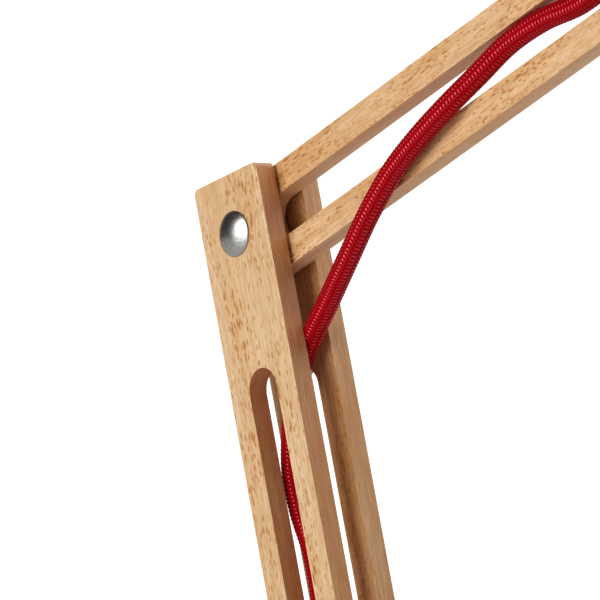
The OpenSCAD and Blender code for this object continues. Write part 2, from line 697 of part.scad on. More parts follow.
// Plug, lying along X
module in_plug() translate([plug_x, exit_y, plug_z]) children();
module plug_body() {
  neck_w = 13;
  flare_l = 13;
  plug_edge_r = 4;
  color("black") in_plug() {
    intersection() {
      linear_extrude(plug_h) polygon([[0, -neck_w / 2], [flare_l, -plug_w / 2], [plug_l, -plug_w / 2],
        [plug_l, plug_w / 2], [flare_l, plug_w / 2], [0, neck_w / 2]]);
      rounded_bar(-past, plug_l, plug_w, plug_h, plug_edge_r);
    }
    translate([-plug_sleeve_l, 0, plug_h / 2]) rotate([0, 90, 0])
      cylinder(d1 = relief_tip_d, d2 = relief_d, h = plug_sleeve_l + past);
  }
}
module plug_pins()
  color("silver") in_plug() for (y = [-1, 1])
    translate([plug_l, y * pin_spacing / 2, plug_h / 2]) rotate([0, 90, 0]) {
      cylinder(d = pin_d, h = pin_l);
      translate([0, 0, pin_l]) sphere(d = pin_d);
    }

felt_pad();
base_disc();
ballast_plate();
ballast_screws();
base_post();
post_screws();
base_grommet();
base_strain_relief();
cord_base_inner();
cord_base_loop();
front_lower_slat();
rear_lower_slat();
arm_pivot_sleeves();
arm_pivot_screws();
arm_pivot_washers();
cord_lower_run();
cord_elbow();
upper_slat();
cord_upper_run();
cord_head_loop();
front_cheek();
rear_cheek();
head_pivot_sleeve();
head_pivot_screw();
head_pivot_washers();
lampholder_cap();
holder_screws();
head_cord_gland();
lampholder_shell();
lampholder_core();
centre_contact();
shade_ring();
shade();
bulb_cap();
bulb_glass();
cord_table_lead();
switch_lower_shell();
switch_upper_shell();
switch_screws();
switch_contacts();
switch_rocker();
cord_switch_tail();
cord_coil();
cord_tie();
cord_plug_tail();
plug_body();
plug_pins();
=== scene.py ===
# Swing-arm table lamp: slotted beech slats on domed steel pivots, with a red braided flex woven through them.
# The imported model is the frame. Sizes are in metres, and the sections follow the lamp as it is put together.
import math

import bpy
import numpy as np
from mathutils import Matrix, Vector


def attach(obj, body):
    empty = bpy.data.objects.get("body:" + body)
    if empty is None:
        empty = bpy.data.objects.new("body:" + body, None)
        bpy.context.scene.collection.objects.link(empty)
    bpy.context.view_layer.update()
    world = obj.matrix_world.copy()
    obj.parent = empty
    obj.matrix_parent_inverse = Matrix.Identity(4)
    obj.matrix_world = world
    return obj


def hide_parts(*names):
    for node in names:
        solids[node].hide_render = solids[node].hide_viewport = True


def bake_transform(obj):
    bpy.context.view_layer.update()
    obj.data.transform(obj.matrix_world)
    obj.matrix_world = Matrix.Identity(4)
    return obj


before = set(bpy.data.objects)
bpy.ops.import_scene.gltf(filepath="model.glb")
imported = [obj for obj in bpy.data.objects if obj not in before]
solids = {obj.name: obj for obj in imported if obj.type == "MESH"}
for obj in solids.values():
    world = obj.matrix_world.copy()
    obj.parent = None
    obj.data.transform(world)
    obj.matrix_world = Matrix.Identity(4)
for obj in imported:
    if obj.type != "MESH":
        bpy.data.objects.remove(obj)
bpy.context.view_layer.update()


# Felt under the base: a disc of pressed grey wool felt, 2 mm thick, glued to the wood.
# Its cut edge is soft, and the pressed fibres show as a fine mottle.
def add_node(tree, kind, inputs=None, **options):
    """Adds a node. Inputs are numbers or other nodes' sockets, named or counted."""
    node = tree.nodes.new(kind)
    for option, value in options.items():
        setattr(node, option, value)
    for place, value in (inputs or {}).items():
        if isinstance(value, bpy.types.NodeSocket):
            tree.links.new(value, node.inputs[place])
        else:
            node.inputs[place].default_value = value
    return node


def new_finish(name, colour, roughness, **constants):
    """Starts a material, and returns it with its shader and the place on the lamp."""
    material = bpy.data.materials.new(name)
    material.use_nodes = True
    tree = material.node_tree
    shader = tree.nodes["Principled BSDF"]
    shader.inputs["Base Color"].default_value = (*colour, 1.0)
    shader.inputs["Roughness"].default_value = roughness
    for socket, value in constants.items():
        shader.inputs[socket.replace("_", " ")].default_value = value
    place = add_node(tree, "ShaderNodeTexCoord").outputs["Object"]
    return material, shader, place


def noise(place, scale, detail=2.0, roughness=0.5):
    """Noise at a place on the lamp. The id_data of a socket is the tree that it belongs to."""
    inputs = {"Vector": place, "Scale": scale, "Detail": detail, "Roughness": roughness}
    return add_node(place.id_data, "ShaderNodeTexNoise", inputs).outputs["Fac"]


def ramp(value, stops):
    """Turns a value into colours. A stop is a place from 0 to 1 and its colour or grey."""
    node = add_node(value.id_data, "ShaderNodeValToRGB", {"Fac": value})
    points = node.color_ramp.elements
    points[0].position, points[1].position = stops[0][0], stops[-1][0]
    for at, _ in stops[1:-1]:
        points.new(at)
    for point, (_, colour) in zip(points, stops):
        point.color = (*colour, 1.0) if isinstance(colour, tuple) else (colour, colour, colour, 1.0)
    return node.outputs["Color"]


def paint(shader, colour, roughness=None):
    tree = shader.id_data
    tree.links.new(colour, shader.inputs["Base Color"])
    if roughness is not None:
        tree.links.new(roughness, shader.inputs["Roughness"])


def raise_surface(shader, height, depth, strength=1.0):
    """Bumps a finish by a height from 0 to 1 that stands for that depth."""
    inputs = {"Height": height, "Distance": depth, "Strength": strength}
    tree = shader.id_data
    bump = add_node(tree, "ShaderNodeBump", inputs)
    tree.links.new(bump.outputs["Normal"], shader.inputs["Normal"])


def new_piece(name, points, faces, material, sharp=35):
    """Makes an object of a mesh, smooth except along edges sharper than that angle."""
    mesh = bpy.data.meshes.new(name)
    mesh.from_pydata([tuple(p) for p in points], [], faces)
    mesh.materials.append(material)
    return show(name, mesh, sharp)


def show(name, mesh, sharp):
    mesh.shade_smooth()
    mesh.set_sharp_from_angle(angle=math.radians(sharp))
    piece = bpy.data.objects.new(name, mesh)
    bpy.context.scene.collection.objects.link(piece)
    return piece


def turned_piece(name, profile, material, place, steps=96):
    """Turns a profile of radius and height, from the axis outward and up, about an axis at that place."""
    points, rows = [], []
    for radius, height in profile:
        row = []
        for k in range(steps if radius > 0 else 1):
            angle = 2 * math.pi * k / steps
            row.append(len(points))
            points.append(place @ Vector((radius * math.cos(angle), radius * math.sin(angle), height)))
        rows.append(row)
    faces = []
    for low, high in zip(rows, rows[1:]):
        for k in range(steps):
            corners = [low[k % len(low)], low[(k + 1) % len(low)]]
            corners += [high[(k + 1) % len(high)], high[k % len(high)]]
            faces.append(list(dict.fromkeys(corners)))
    return new_piece(name, points, [face for face in faces if len(face) > 2], material)


felt_finish, shader, place = new_finish("pressed_felt", (0.05, 0.05, 0.055), 1.0, Sheen_Weight=0.3)
mottle = noise(place, scale=900, detail=4.0, roughness=0.7)
paint(shader, ramp(mottle, [(0.3, (0.02, 0.02, 0.023)), (0.7, (0.10, 0.10, 0.11))]))
raise_surface(shader, mottle, depth=0.0006)
felt_r, felt_t, felt_edge = 0.091, 0.002, 0.0006
felt_profile = [(0, 0), (felt_r - felt_edge, 0)]
felt_profile += [(felt_r, felt_edge), (felt_r, felt_t - felt_edge)]
felt_profile += [(felt_r - felt_edge / 2, felt_t), (0, felt_t)]
felt_disc = turned_piece("felt_disc", felt_profile, felt_finish, Matrix.Identity(4), steps=160)
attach(felt_disc, "base")
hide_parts("felt_pad")


# Base: a disc of solid beech, turned with a rounded upper edge, bored for the flex and oiled.
# Beech is pale and warm, with soft bands of growth and short brown flecks along the grain.
# On the base and the slats the flecks show on the broad faces, and the edges have fine streaks alone.
def stretch(place, scale):
    inputs = {"Vector": place, "Scale": scale}
    return add_node(place.id_data, "ShaderNodeMapping", inputs).outputs["Vector"]


def streaks(place, scale, detail=3.0, roughness=0.6):
    """Noise drawn out along the axis where that scale is least."""
    return noise(stretch(place, scale), 1, detail, roughness)


def mix_colours(amount, first, second, way="MIX"):
    """Mixes two colours. The node has its colours at inputs 6 and 7 and at output 2."""
    inputs = {0: amount, 6: first, 7: second}
    return add_node(first.id_data, "ShaderNodeMix", inputs, data_type="RGBA", blend_type=way).outputs[2]


def calc(kind, first, second=0.0):
    """A sum on two values, at least one of them a socket."""
    tree = (first if isinstance(first, bpy.types.NodeSocket) else second).id_data
    return add_node(tree, "ShaderNodeMath", {0: first, 1: second}, operation=kind).outputs[0]


def times(first, second):
    return calc("MULTIPLY", first, second)


def minus(first, second):
    return calc("SUBTRACT", first, second)


def flecks(grain, cell, size, few=0.25):
    """Short dashes along the grain, one in each cell and each of its own strength."""
    tree = grain.id_data
    cells = {"Vector": stretch(grain, cell), "Scale": 1.0}
    spots = add_node(tree, "ShaderNodeTexVoronoi", cells).outputs
    dash = ramp(spots["Distance"], [(0.55 * size, 1.0), (size, 0.0)])
    chance = add_node(tree, "ShaderNodeSeparateColor", {0: spots["Color"]}).outputs["Red"]
    return times(dash, ramp(chance, [(few, 0.0), (few + 0.3, 1.0)]))


def oiled_beech(name, turn, shift, flecked=None, edge_tone_and_painted_shade_tint=(1, 1, 1), face_painted_light_and_shade_tint=(1, 1, 1), fine=1.0):
    """Beech with its grain along the X of a frame turned by that many degrees about Y."""
    material, shader, place = new_finish(name, (0.74, 0.47, 0.25), 0.5)
    tree = material.node_tree
    inputs = {"Vector": place, "Rotation": (0, math.radians(turn), 0)}
    inputs["Location"] = (shift, 0.31 * shift, 0.57 * shift)
    grain = add_node(tree, "ShaderNodeMapping", inputs).outputs["Vector"]
    tone = streaks(grain, (9, 60, 80), roughness=0.5)
    growth = streaks(grain, (15, 430, 430))
    fibre = streaks(grain, (130, 1900, 1900))
    patch = streaks(grain, (28, 120, 120), detail=2.0, roughness=0.5)
    small = flecks(grain, (400 * fine, 1350 * fine, 1350 * fine), size=0.40)
    large = flecks(grain, (230 * fine, 1150 * fine, 1150 * fine), size=0.42)
    large = times(large, ramp(patch, [(0.46, 0.0), (0.6, 1.0)]))
    small = times(small, ramp(patch, [(0.36, 0.25), (0.56, 1.0)]))
    dashes = calc("MAXIMUM", small, large)
    tones = [(0.3, (0.69, 0.43, 0.22)), (0.5, (0.77, 0.515, 0.295)), (0.7, (0.84, 0.60, 0.37))]
    wood = ramp(tone, tones)
    wood = mix_colours(ramp(patch, [(0.48, 0.0), (0.7, 0.6)]), wood, (0.70, 0.40, 0.165, 1))
    wood = mix_colours(ramp(growth, [(0.45, 0.0), (0.7, 0.6)]), wood, (0.63, 0.35, 0.15, 1))
    wood = mix_colours(ramp(fibre, [(0.34, 0.75), (0.56, 0.0)]), wood, (0.56, 0.30, 0.125, 1))
    # The edges and the broad faces take their own tints. On the edges this is partly the edge grain's own tone
    # and partly painted shade; on the broad faces it is painted light and shade.
    if flecked:
        normal = add_node(tree, "ShaderNodeNewGeometry").outputs["Normal"]
        aligned = {0: normal, 1: flecked}
        aligned = add_node(tree, "ShaderNodeVectorMath", aligned, operation="DOT_PRODUCT").outputs["Value"]
        facing = ramp(calc("ABSOLUTE", aligned), [(0.55, 0.0), (0.9, 1.0)])
        dashes = times(dashes, facing)
        edge = mix_colours(1.0, wood, (*edge_tone_and_painted_shade_tint, 1), "MULTIPLY")
        face = mix_colours(1.0, wood, (*face_painted_light_and_shade_tint, 1), "MULTIPLY")
        wood = mix_colours(facing, edge, face)
    wood = mix_colours(dashes, wood, (0.45, 0.185, 0.045, 1))
    paint(shader, wood, ramp(fibre, [(0.3, 0.44), (0.7, 0.6)]))
    height = minus(fibre, times(dashes, 0.3))
    raise_surface(shader, height, depth=0.0001, strength=0.35)
    return material


def dress(material, *names):
    """Gives solids of the frame a finish."""
    for name in names:
        for slot in solids[name].material_slots:
            slot.material = material


base_beech = oiled_beech("beech_base", turn=0, shift=0.4, flecked=(0, 0, 1), edge_tone_and_painted_shade_tint=(0.9, 0.82, 0.78))
dress(base_beech, "base_disc")

# Ballast: a cast-iron plate let into the underside and held by three plated screws.
# It is left as cast, so its skin is dark and slightly pitted.
iron_finish, shader, place = new_finish("cast_iron", (0.09, 0.09, 0.095), 0.62, Metallic=0.8)
pits = noise(place, scale=1400, detail=5.0, roughness=0.65)
paint(shader, ramp(pits, [(0.3, (0.05, 0.05, 0.052)), (0.7, (0.16, 0.155, 0.15))]))
raise_surface(shader, pits, depth=0.0003)
dress(iron_finish, "ballast_plate")


def worked_metal(name, dark, light, rough, scratch, depth):
    """Metal with fine scratches, longest along the axis where that scratch scale is least."""
    material, shader, place = new_finish(name, light, rough, Metallic=1.0)
    lines = streaks(place, scratch)
    tint = ramp(lines, [(0.3, dark), (0.7, light)])
    cloud = noise(place, scale=260)
    paint(shader, tint, ramp(cloud, [(0.3, rough), (0.75, rough + 0.1)]))
    raise_surface(shader, lines, depth, strength=0.4)
    return material


screw_finish = worked_metal("zinc_plate", (0.48, 0.47, 0.44), (0.66, 0.65, 0.61),
                            rough=0.3, scratch=(900, 900, 3500), depth=0.00004)
dress(screw_finish, "ballast_screws", "post_screws", "holder_screws", "switch_screws")

# Post: one piece of beech, turned to a shoulder below and sawn to a tongue above, with upright grain.
# Two screws from below hold it to the base.
dress(oiled_beech("beech_post", turn=90, shift=1.7), "base_post")


# Grommet and strain relief: black rubber, pressed into the base where the flex enters and leaves.
# The sleeve behind the base tapers, and its ribs let it bend with the flex.
def start_tree(name, sizes):
    """Starts a Geometry Nodes tree with one input for each size, and returns it with their sockets."""
    tree = bpy.data.node_groups.new(name, "GeometryNodeTree")
    kinds = {float: "NodeSocketFloat", int: "NodeSocketInt", tuple: "NodeSocketVector"}
    tree.interface.new_socket("Geometry", in_out="INPUT", socket_type="NodeSocketGeometry")
    for label, value in sizes.items():
        socket = tree.interface.new_socket(label, in_out="INPUT", socket_type=kinds[type(value)])
        socket.default_value = value
    tree.interface.new_socket("Finish", in_out="INPUT", socket_type="NodeSocketMaterial")
    tree.interface.new_socket("Geometry", in_out="OUTPUT", socket_type="NodeSocketGeometry")
    return tree, tree.nodes.new("NodeGroupInput").outputs


def shape(tree, kind, inputs, **options):
    """Adds one step of a tree and returns the shape that it makes."""
    return add_node(tree, "GeometryNode" + kind, inputs, **options).outputs[0]


def end_tree(tree, given, geometry):
    real = shape(tree, "RealizeInstances", {"Geometry": geometry})
    done = shape(tree, "SetMaterial", {"Geometry": real, "Material": given["Finish"]})
    tree.links.new(done, tree.nodes.new("NodeGroupOutput").inputs["Geometry"])


def plus(first, second):
    return calc("ADD", first, second)


def vector(tree, x=0.0, y=0.0, z=0.0):
    return add_node(tree, "ShaderNodeCombineXYZ", {0: x, 1: y, 2: z}).outputs[0]


def grow(name, tree, sizes, material, start=None, place=None, bevel=0.0, sharp=35):
    """Runs a tree with these sizes and returns its result as a plain mesh, rounded and put in its place."""
    holder = bpy.data.objects.new(name + "_blank", start or bpy.data.meshes.new(name + "_blank"))
    bpy.context.scene.collection.objects.link(holder)
    recipe = holder.modifiers.new("shape", "NODES")
    recipe.node_group = tree
    for socket in tree.interface.items_tree:
        if socket.in_out == "INPUT" and socket.name in sizes:
            recipe[socket.identifier] = sizes[socket.name]
        if socket.in_out == "INPUT" and socket.name == "Finish":
            recipe[socket.identifier] = material
    if bevel:
        rounding = holder.modifiers.new("rounding", "BEVEL")
        rounding.width, rounding.segments = bevel, 4
        rounding.limit_method, rounding.angle_limit = "ANGLE", math.radians(50)
    scene_state = bpy.context.evaluated_depsgraph_get()
    mesh = bpy.data.meshes.new_from_object(holder.evaluated_get(scene_state), depsgraph=scene_state)
    bpy.data.objects.remove(holder)
    mesh.transform(place or Matrix.Identity(4))
    return show(name, mesh, sharp)


rubber_finish, shader, place = new_finish("black_rubber", (0.022, 0.022, 0.022), 0.62)
bloom = noise(place, scale=420, detail=4.0, roughness=0.6)
black = ramp(bloom, [(0.3, (0.014, 0.014, 0.014)), (0.75, (0.036, 0.035, 0.034))])
paint(shader, black, ramp(bloom, [(0.3, 0.55), (0.7, 0.75)]))
raise_surface(shader, noise(place, scale=5000), depth=0.00004)
dress(rubber_finish, "base_grommet")

sleeve_sizes = {"Length": 0.035, "Tip": 0.0086, "Root": 0.011, "Collar": 0.005, "Ribs": 9, "Groove": 0.0009}
rib_rows, groove_power, sleeve_sides = 18.0, 0.35, 48
tree, given = start_tree("ribbed_sleeve", sleeve_sizes)
whole = plus(given["Length"], given["Collar"])
axis = shape(tree, "CurvePrimitiveLine", {"End": vector(tree, whole)})
count = times(given["Ribs"], rib_rows)
axis = shape(tree, "ResampleCurve", {"Curve": axis, "Count": count}, mode="COUNT")
run = add_node(tree, "GeometryNodeSplineParameter").outputs["Length"]
share = calc("MINIMUM", calc("DIVIDE", run, given["Length"]), 1.0)
flare = times(minus(given["Root"], given["Tip"]), share)
outside = plus(given["Tip"], flare)
turns = times(times(share, given["Ribs"]), 2 * math.pi)
wave = plus(times(calc("COSINE", turns), -0.5), 0.5)
dip = minus(1.0, calc("POWER", wave, groove_power))
dip = times(dip, calc("LESS_THAN", run, given["Length"]))
width = minus(outside, times(dip, times(given["Groove"], 2.0)))
section = shape(tree, "CurvePrimitiveCircle", {"Resolution": sleeve_sides, "Radius": 0.5})
swept = {"Curve": axis, "Profile Curve": section, "Scale": width, "Fill Caps": True}
end_tree(tree, given, shape(tree, "CurveToMesh", swept))
sleeve_tree = tree

relief_spot = Matrix.Translation((-0.130, 0, 0.009))
relief = grow("ribbed_strain_relief", sleeve_tree, sleeve_sizes, rubber_finish, place=relief_spot, sharp=60)
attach(relief, "base")
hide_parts("base_strain_relief")

# Slats of the arm: planed beech, 32 x 7 mm, with a long routed slot in the middle and a bore for each pivot.
# All edges are eased by sanding. Two slats make the lower arm, and one runs between them as the upper arm.
lean_degrees, rise_degrees = 16, 24
lean, rise = math.radians(lean_degrees), math.radians(rise_degrees)
arm_length = 0.340
base_pivot = Vector((-0.030, 0, 0.0738395))
lower_along = Vector((-math.sin(lean), 0, math.cos(lean)))
lower_across = Vector((math.cos(lean), 0, math.sin(lean)))
upper_along = Vector((math.cos(rise), 0, math.sin(rise)))
upper_across = Vector((-math.sin(rise), 0, math.cos(rise)))
back = Vector((0, 1, 0))
elbow_pivot = base_pivot + arm_length * lower_along
head_pivot = elbow_pivot + arm_length * upper_along

slat_sizes = {"Pivot distance": arm_length, "Overhang": 0.019, "Width": 0.032, "Thickness": 0.007,
              "Corner": 0.002, "Slot start": 0.044, "Slot end": 0.296, "Slot width": 0.0135, "Bore": 0.0061}
corner_steps, slot_steps, bore_sides, just_under_half, weld = 6, 14, 40, 0.4999, 1e-6
tree, given = start_tree("slotted_slat", slat_sizes)


def rounded_outline(tree, length, width, radius, middle, steps):
    box = shape(tree, "CurvePrimitiveQuadrilateral", {"Width": length, "Height": width})
    corners = {"Curve": box, "Count": steps, "Radius": radius, "Limit Radius": True}
    box = shape(tree, "FilletCurve", corners, mode="POLY")
    return shape(tree, "Transform", {"Geometry": box, "Translation": vector(tree, middle)})


def joined(tree, *parts):
    node = add_node(tree, "GeometryNodeJoinGeometry")
    for part in parts:
        tree.links.new(part, node.inputs["Geometry"])
    return node.outputs["Geometry"]


half = times(given["Pivot distance"], 0.5)
full = plus(given["Pivot distance"], times(given["Overhang"], 2.0))
edge = rounded_outline(tree, full, given["Width"], given["Corner"], half, corner_steps)
slot_length = minus(given["Slot end"], given["Slot start"])
slot_middle = times(plus(given["Slot end"], given["Slot start"]), 0.5)
slot_radius = times(given["Slot width"], just_under_half)
slot = rounded_outline(tree, slot_length, given["Slot width"], slot_radius, slot_middle, slot_steps)
bore = {"Resolution": bore_sides, "Radius": times(given["Bore"], 0.5)}
bore = shape(tree, "CurvePrimitiveCircle", bore)
far_bore = {"Geometry": bore, "Translation": vector(tree, given["Pivot distance"])}
outline = joined(tree, edge, slot, bore, shape(tree, "Transform", far_bore))
face = shape(tree, "FillCurve", {"Curve": outline}, mode="NGONS")
thick = {"Mesh": face, "Offset": vector(tree, z=1.0), "Offset Scale": given["Thickness"]}
raised = shape(tree, "ExtrudeMesh", {**thick, "Individual": False})
board = joined(tree, raised, shape(tree, "FlipFaces", {"Mesh": face}))
end_tree(tree, given, shape(tree, "MergeByDistance", {"Geometry": board, "Distance": weld}))


def standing(along, across, depth, origin):
    """The place of a board whose length, width and thickness lie along those directions."""
    return Matrix.Translation(origin) @ Matrix((along, across, depth)).transposed().to_4x4()


eased = 0.0009
# The two lower slats take different tints as painted light and shade. The front slat's edges are darker, as if
# shaded by the upper arm and the flex beside them, and its broad faces are lighter and cooler, as if lit. The
# rear slat's broad faces are darker, as if in the front slat's shade.
lower_slats = {"front_lower_slat": (-0.012, 0.0, (0.86, 0.70, 0.62), (1.0, 1.07, 1.17), 0.72),
               "rear_lower_slat": (0.005, 0.9, (0.93, 0.86, 0.86), (0.86, 0.78, 0.7), 1.0)}
for name, (y, shift, edge_tone_and_painted_shade_tint, face_painted_light_and_shade_tint, fine) in lower_slats.items():
    spot = standing(lower_along, lower_across, back, base_pivot + Vector((0, y, 0)))
    beech = oiled_beech("beech_" + name, 90 + lean_degrees, shift, (0, 1, 0), edge_tone_and_painted_shade_tint, face_painted_light_and_shade_tint, fine)
    slat = grow("slotted_" + name, tree, slat_sizes, beech, place=spot, bevel=eased)
    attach(slat, "lower_arm")
    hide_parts(name)

spot = standing(upper_along, upper_across, -back, elbow_pivot + Vector((0, 0.0035, 0)))
upper_sizes = dict(slat_sizes, **{"Slot start": 0.0073})
# Its edges take a faint cool tint: a painted cast of the cool light that the floor throws on the undersides.
beech = oiled_beech("beech_upper_slat", rise_degrees, 2.3, (0, 1, 0), edge_tone_and_painted_shade_tint=(0.97, 0.94, 1.02))
slat = grow("slotted_upper_slat", tree, upper_sizes, beech, place=spot, bevel=eased)
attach(slat, "upper_arm")
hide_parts("upper_slat")

# Pivots: a turned steel sleeve with a brushed, domed head goes through each stack of slats from the front.
# A screw with a slotted domed head closes it from behind, and thin washers keep the slats apart.
steel_finish = worked_metal("brushed_steel", (0.27, 0.265, 0.255), (0.60, 0.59, 0.57),
                            rough=0.26, scratch=(2600, 2600, 2600), depth=0.00001)
dome_r, dome_h, dome_rim, rim_round, dome_steps = 0.00725, 0.0028, 0.0005, 0.00018, 24
bulge = dome_h - dome_rim
dome_curve = (dome_r ** 2 + bulge ** 2) / (2 * bulge)
dome_profile = []
for k in range(dome_steps + 1):
    radius = (dome_r - rim_round) * k / dome_steps
    rise_here = math.sqrt(dome_curve ** 2 - radius ** 2) - dome_curve + bulge
    dome_profile.append((radius, -dome_rim - rise_here))
dome_profile += [(dome_r - 0.3 * rim_round, -dome_rim), (dome_r, -dome_rim + rim_round), (dome_r, 0)]
sleeve_r, sleeve_end, thread_r, thread_end = 0.003, 0.0235, 0.00175, 0.011
dome_profile += [(sleeve_r, 0), (sleeve_r, sleeve_end), (thread_r, sleeve_end)]
dome_profile += [(thread_r, thread_end), (0, thread_end)]

row_sizes = {"Count": 2, "First": (0.0, 0.0, 0.0), "Step": (0.0, 0.0, 0.0)}
tree, given = start_tree("row_of_pieces", row_sizes)
line = {"Count": given["Count"], "Start Location": given["First"], "Offset": given["Step"]}
row = {"Points": shape(tree, "MeshLine", line), "Instance": given["Geometry"]}
end_tree(tree, given, shape(tree, "InstanceOnPoints", row))

front = Vector((0, -0.012, 0))
laid = Matrix.Rotation(-math.pi / 2, 4, "X")
one_head = turned_piece("one_pivot_head", dome_profile, steel_finish, laid)
pivot_rows = {
    "arm_pivot_heads": ("arm_pivot_sleeves", "lower_arm", 2, base_pivot + front, elbow_pivot - base_pivot),
    "head_pivot_head": ("head_pivot_sleeve", "head", 1, head_pivot + front, Vector())}
for name, (solid, body, count, first, step) in pivot_rows.items():
    sizes = {"Count": count, "First": first, "Step": step}
    heads = grow(name, tree, sizes, steel_finish, start=one_head.data.copy())
    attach(heads, body)
    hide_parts(solid)
bpy.data.objects.remove(one_head)
dress(steel_finish, "arm_pivot_screws", "head_pivot_screw", "arm_pivot_washers", "head_pivot_washers")

# Head: two beech cheeks stand in mortises of a turned beech cap, with upright grain.
# Two screws from above hold the lampholder under the cap, and the flex enters the cap by a rubber gland.
dress(oiled_beech("beech_cheeks", turn=90, shift=3.1), "front_cheek", "rear_cheek")
dress(oiled_beech("beech_cap", turn=90, shift=4.4), "lampholder_cap")
gland_sizes = {"Length": 0.0135, "Tip": 0.0086, "Root": 0.0108, "Collar": 0.0005, "Ribs": 4, "Groove": 0.0007}
gland_spot = Matrix.Translation(head_pivot + Vector((-0.036, 0, -0.072)))
gland = grow("ribbed_gland", sleeve_tree, gland_sizes, rubber_finish, place=gland_spot, sharp=60)
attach(gland, "head")
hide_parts("head_cord_gland")


# Lampholder: a moulded black shell around a glazed ceramic core, with a brass spring contact at the top.
# The moulding has a fine satin texture, and the glaze is smooth.
def satin_plastic(name, dark, light, rough):
    material, shader, place = new_finish(name, dark, rough)
    haze = noise(place, scale=340, detail=3.0)
    tint = ramp(haze, [(0.3, dark), (0.75, light)])
    paint(shader, tint, ramp(haze, [(0.3, rough), (0.7, rough + 0.12)]))
    raise_surface(shader, noise(place, scale=2600), depth=0.00005, strength=0.6)
    return material


black_finish = satin_plastic("satin_black", (0.014, 0.014, 0.015), (0.026, 0.026, 0.027), rough=0.34)
dress(black_finish, "lampholder_shell", "switch_lower_shell", "switch_upper_shell")
glaze_finish = satin_plastic("glazed_ceramic", (0.78, 0.76, 0.70), (0.84, 0.83, 0.78), rough=0.16)
dress(glaze_finish, "lampholder_core")
brass_finish = worked_metal("brass", (0.62, 0.42, 0.14), (0.82, 0.62, 0.26),
                            rough=0.26, scratch=(900, 900, 2600), depth=0.00003)
dress(brass_finish, "centre_contact", "switch_contacts")

# Shade ring: a moulded black ring screwed up the lampholder, which clamps the shade under the cap.
# Rounded ribs around it give the fingers a grip.
ring_inner, ring_outer, ring_low, ring_high = 0.0196, 0.0240, -0.099, -0.091
low_round = ((0.0015, 0), (0.0004, 0.0006), (0, 0.0017))
high_round = ((0, 0.001), (0.0006, 0))
ring_profile = [(ring_inner, ring_low)]
ring_profile += [(ring_outer - inward, ring_low + upward) for inward, upward in low_round]
ring_profile += [(ring_outer - inward, ring_high - downward) for inward, downward in high_round]
ring_profile += [(ring_inner, ring_high), (ring_inner, ring_low)]
ring_blank = turned_piece("ring_blank", ring_profile, black_finish, Matrix.Translation(head_pivot))
grip_sizes = {"Count": 40, "Radius": 0.024, "Rib": 0.0006, "Height": 0.0055}
grip_lift, grip_rows, grip_sides, swell_power, least_swell = 0.0004, 9, 10, 0.4, 0.05
tree, given = start_tree("gripped_ring", grip_sizes)
circle = shape(tree, "MeshCircle", {"Vertices": given["Count"], "Radius": given["Radius"]})
middle_z = head_pivot.z + (ring_low + ring_high) / 2 + grip_lift
middle = vector(tree, head_pivot.x, head_pivot.y, middle_z)
circle = shape(tree, "Transform", {"Geometry": circle, "Translation": middle})
ends = [vector(tree, z=times(given["Height"], end)) for end in (-0.5, 0.5)]
upright = shape(tree, "CurvePrimitiveLine", {"Start": ends[0], "End": ends[1]})
upright = shape(tree, "ResampleCurve", {"Curve": upright, "Count": grip_rows}, mode="COUNT")
share = add_node(tree, "GeometryNodeSplineParameter").outputs["Factor"]
swell = calc("SINE", times(share, math.pi))
swell = calc("MAXIMUM", calc("POWER", swell, swell_power), least_swell)
section = shape(tree, "CurvePrimitiveCircle", {"Resolution": grip_sides, "Radius": given["Rib"]})
swept = {"Curve": upright, "Profile Curve": section, "Scale": swell, "Fill Caps": True}
rib = shape(tree, "CurveToMesh", swept)
ribs = shape(tree, "InstanceOnPoints", {"Points": circle, "Instance": rib})
end_tree(tree, given, joined(tree, given["Geometry"], ribs))
ring = grow("gripped_shade_ring", tree, grip_sizes, black_finish, start=ring_blank.data.copy())
bpy.data.objects.remove(ring_blank)
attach(ring, "head")
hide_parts("shade_ring")

# Shade: spun from sheet aluminium over a former, with a rolled rim, and coated off-white inside and out.
# The coat has a faint orange-peel and a satin gloss.
coat = {"Coat_Weight": 0.2, "Coat_Roughness": 0.25}
enamel_finish, shader, place = new_finish("off_white_coat", (0.80, 0.78, 0.73), 0.38, **coat)
cloud = noise(place, scale=30, detail=3.0)
gloss = ramp(noise(place, scale=120, detail=3.0), [(0.3, 0.34), (0.7, 0.46)])
paint(shader, ramp(cloud, [(0.3, (0.77, 0.75, 0.70)), (0.7, (0.82, 0.80, 0.75))]), gloss)
raise_surface(shader, noise(place, scale=650), depth=0.00008, strength=0.5)
dress(enamel_finish, "shade")

# Bulb: an opal glass globe cemented into a nickel-plated cap with a rolled screw thread.
# It screws up into the lampholder's core, and its own glass hides what is inside.
coat = {"Coat_Weight": 0.5, "Coat_Roughness": 0.05}
opal_finish, shader, place = new_finish("opal_glass", (0.90, 0.89, 0.85), 0.12, **coat)
cloud = noise(place, scale=45)
paint(shader, ramp(cloud, [(0.3, (0.87, 0.86, 0.81)), (0.7, (0.93, 0.92, 0.88))]))
raise_surface(shader, noise(place, scale=300), depth=0.00003, strength=0.3)
dress(opal_finish, "bulb_glass")


def parts_of(place):
    return add_node(place.id_data, "ShaderNodeSeparateXYZ", {0: place}).outputs


